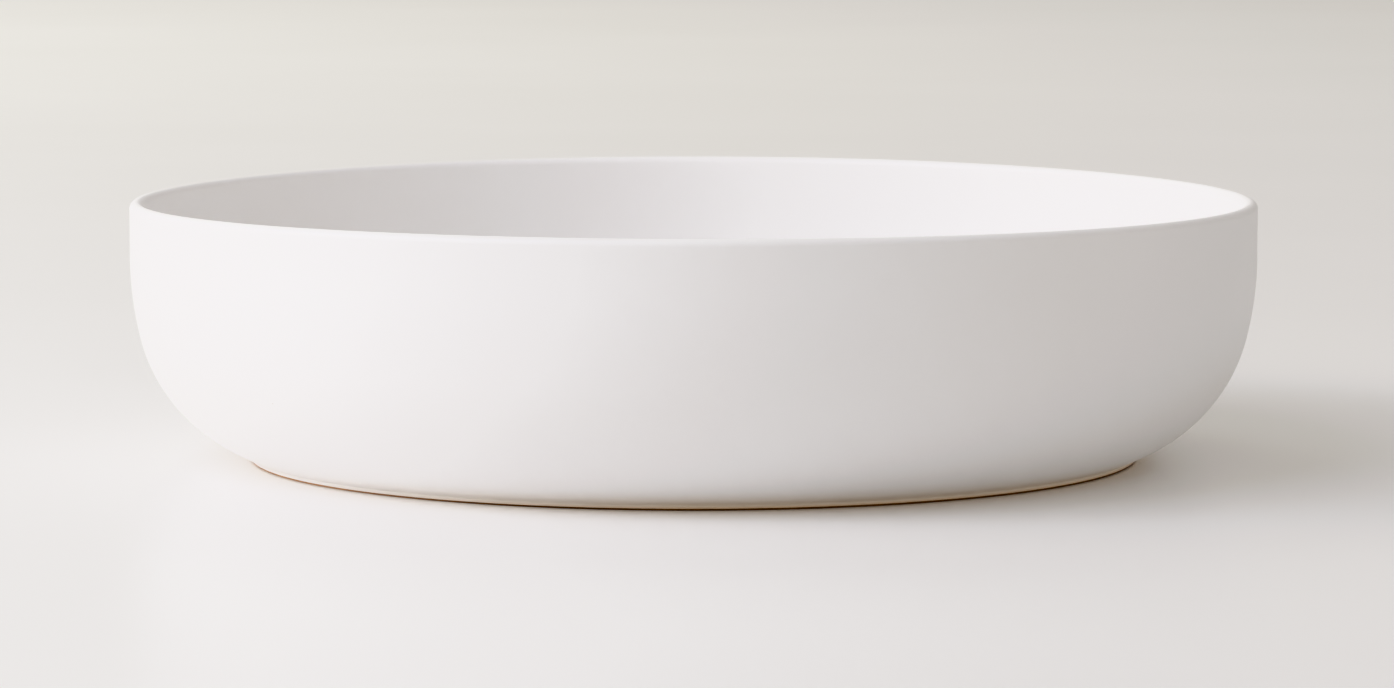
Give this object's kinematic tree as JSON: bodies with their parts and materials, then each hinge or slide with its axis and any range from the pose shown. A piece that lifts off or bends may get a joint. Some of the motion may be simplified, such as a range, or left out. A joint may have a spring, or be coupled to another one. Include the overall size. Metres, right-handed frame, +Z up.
{
  "type": "serving bowl",
  "caption": "Low, wide round serving bowl of white porcelain with upright walls, a rounded rim and a shallow foot ring.",
  "frame": {"origin": "centre of the plane that the foot ring stands on", "axes": "+Z up along the bowl's axis of revolution, towards its open mouth; X and Y lie in the standing plane"},
  "size_m": [0.33, 0.33, 0.0765],
  "materials": {
    "matt_glaze": "satin",
    "porcelain": "matte",
    "bare_foot": "matte"
  },
  "bodies": {
    "root": {"porcelain_body": "porcelain", "foot_ring": "bare_foot", "inner_glaze": "matt_glaze", "outer_glaze": "matt_glaze", "base_glaze": "matt_glaze"}
  },
  "joints": []
}
